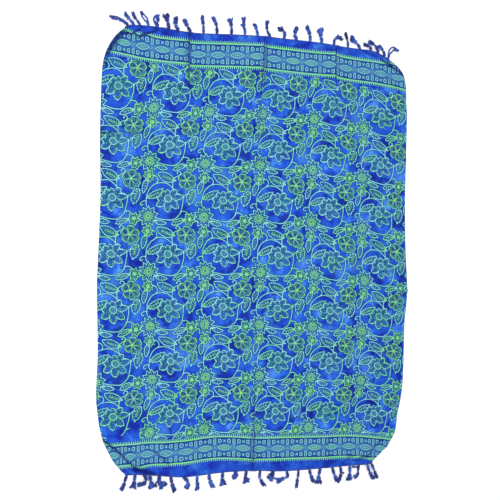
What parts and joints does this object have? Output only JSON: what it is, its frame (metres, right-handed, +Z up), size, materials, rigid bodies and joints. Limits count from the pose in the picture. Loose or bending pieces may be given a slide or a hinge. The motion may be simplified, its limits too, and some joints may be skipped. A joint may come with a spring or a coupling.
{
  "type": "fringed printed sarong laid flat",
  "caption": "Rectangular printed rayon sarong laid flat, with rounded corners, packing creases and knotted tassels along both short ends.",
  "frame": {"origin": "centre of the object's box in plan, on the surface that the cloth lies on", "axes": "+Y along the length, towards the far fringe; +X across the width, to the right as the cloth is seen with its far end up; +Z up, out of the printed face"},
  "size_m": [1.1652, 1.6952, 0.0114],
  "materials": {
    "printed_rayon": "thin plain-woven rayon with a soft sheen, resist-dyed blue ground with a lime and mint floral line print and a geometric border band at each end",
    "fringe_thread": "dark blue two-ply twisted rayon threads with knotted ends"
  },
  "bodies": {
    "root": {"cloth": "printed_rayon", "fringe_top": "fringe_thread", "fringe_bottom": "fringe_thread"}
  },
  "joints": []
}
